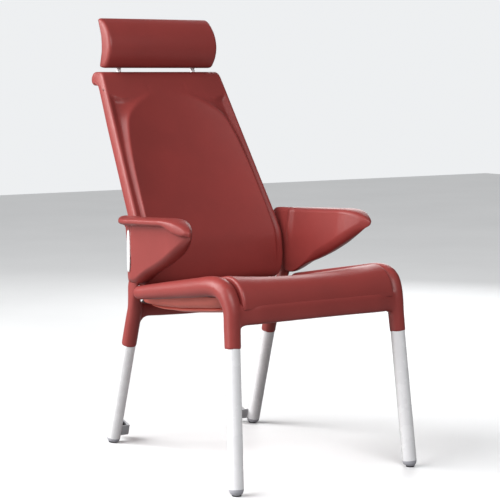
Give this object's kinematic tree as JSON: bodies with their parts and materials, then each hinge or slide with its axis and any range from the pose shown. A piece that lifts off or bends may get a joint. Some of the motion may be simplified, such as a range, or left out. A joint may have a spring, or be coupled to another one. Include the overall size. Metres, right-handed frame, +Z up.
{
  "type": "patient recliner chair",
  "caption": "High-back patient recliner chair: moulded seat, reclining back with side bolsters, wing arms, sliding headrest, tube legs and small rear transport rollers.",
  "frame": {"origin": "on the floor, at the middle of the overall box in plan", "axes": "+Z up, -Y the way the sitter faces, -X the side named left, which is on the left when seen from the front"},
  "size_m": [0.6498, 0.893, 1.198],
  "materials": {
    "moulded_skin": "satin moulded polyurethane skin",
    "belly_skin": "fine-textured moulded skin",
    "white_enamel": "gloss white enamel",
    "white_plastic": "smooth white plastic",
    "grey_paint": "satin grey paint",
    "grey_plastic": "satin grey plastic",
    "dark_plastic": "dark plastic",
    "bright_steel": "bright chrome",
    "zinc_steel": "zinc plated",
    "black_steel": "black paint",
    "wheel_rubber": "dark rubber",
    "bronze": "sintered bronze"
  },
  "bodies": {
    "frame": {"leg_tube_front_left": "white_enamel", "leg_tube_front_right": "white_enamel", "leg_tube_rear_left": "white_enamel", "leg_tube_rear_right": "white_enamel", "foot_cap_front_left": "grey_plastic", "foot_cap_front_right": "grey_plastic", "foot_cap_rear_left": "grey_plastic", "foot_cap_rear_right": "grey_plastic", "foot_glide_front_left": "dark_plastic", "foot_glide_front_right": "dark_plastic", "foot_glide_rear_left": "dark_plastic", "foot_glide_rear_right": "dark_plastic", "seat_rail_left": "moulded_skin", "seat_rail_right": "moulded_skin", "rear_leg_sleeve_left": "moulded_skin", "rear_leg_sleeve_right": "moulded_skin", "front_apron": "moulded_skin", "rear_crossbar": "moulded_skin", "seat_pad": "moulded_skin", "seat_plate": "black_steel", "under_tray": "belly_skin", "arm_left": "moulded_skin", "arm_right": "moulded_skin", "arm_cap_left": "white_plastic", "arm_cap_right": "white_plastic", "arm_bolt_left": "zinc_steel", "arm_bolt_right": "zinc_steel", "wheel_fork_left": "grey_paint", "wheel_fork_right": "grey_paint", "wheel_axle_left": "zinc_steel", "wheel_axle_right": "zinc_steel", "hinge_lug_left": "black_steel", "hinge_lug_right": "black_steel", "hinge_pin_left": "zinc_steel", "hinge_pin_right": "zinc_steel", "spring_clevis": "black_steel", "spring_front_pin": "zinc_steel", "lever_hanger_inner": "dark_plastic", "lever_hanger_outer": "dark_plastic"},
    "backrest": {"back_pad": "moulded_skin", "back_shell": "moulded_skin", "post_guide_left": "dark_plastic", "post_guide_right": "dark_plastic", "hinge_bush_left": "bronze", "hinge_bush_right": "bronze", "back_hinge_arm_left": "black_steel", "back_hinge_arm_right": "black_steel", "crank_left": "black_steel", "crank_right": "black_steel", "back_cross_tube": "black_steel", "crank_pin": "zinc_steel"},
    "headrest": {"headrest_shell": "moulded_skin", "headrest_pad": "moulded_skin", "headrest_post_left": "bright_steel", "headrest_post_right": "bright_steel"},
    "gas_cylinder": {"gas_spring_cylinder": "black_steel"},
    "gas_rod": {"gas_spring_rod": "bright_steel"},
    "lever": {"release_lever": "black_steel"},
    "wheel_left": {"transport_wheel_left": "wheel_rubber"},
    "wheel_right": {"transport_wheel_right": "wheel_rubber"}
  },
  "joints": [
    {"name": "recline", "type": "hinge", "parent": "frame", "child": "backrest", "pos_m": [0, 0.1247, 0.442], "axis": [-1, 0, 0], "range_deg": [0, 18]},
    {"name": "headrest_height", "type": "slide", "parent": "backrest", "child": "headrest", "axis": [0, 0.524, 0.8517], "range_m": [0, 0.07]},
    {"name": "spring_swing", "type": "hinge", "parent": "frame", "child": "gas_cylinder", "pos_m": [0, -0.2403, 0.452], "axis": [1, 0, 0], "range_deg": [-1, 2]},
    {"name": "spring_stroke", "type": "slide", "parent": "gas_cylinder", "child": "gas_rod", "axis": [0, -0.9868, 0.1616], "range_m": [-0.001, 0.016]},
    {"name": "release_lever_turn", "type": "hinge", "parent": "frame", "child": "lever", "pos_m": [0, -0.2623, 0.458], "axis": [-1, 0, 0], "range_deg": [0, 12], "stiffness_Nm_per_rad": 3, "springref_deg": -8.59},
    {"name": "wheel_left_spin", "type": "hinge", "parent": "frame", "child": "wheel_left", "pos_m": [-0.19925, 0.29742, 0.03339], "axis": [1, 0, 0], "continuous": true},
    {"name": "wheel_right_spin", "type": "hinge", "parent": "frame", "child": "wheel_right", "pos_m": [0.19925, 0.29742, 0.03339], "axis": [1, 0, 0], "continuous": true}
  ],
  "couplings": [
    {"joint": "spring_stroke", "follows": "recline", "m_per_rad": 0.04675},
    {"joint": "spring_swing", "follows": "recline", "ratio": 0.04968}
  ]
}
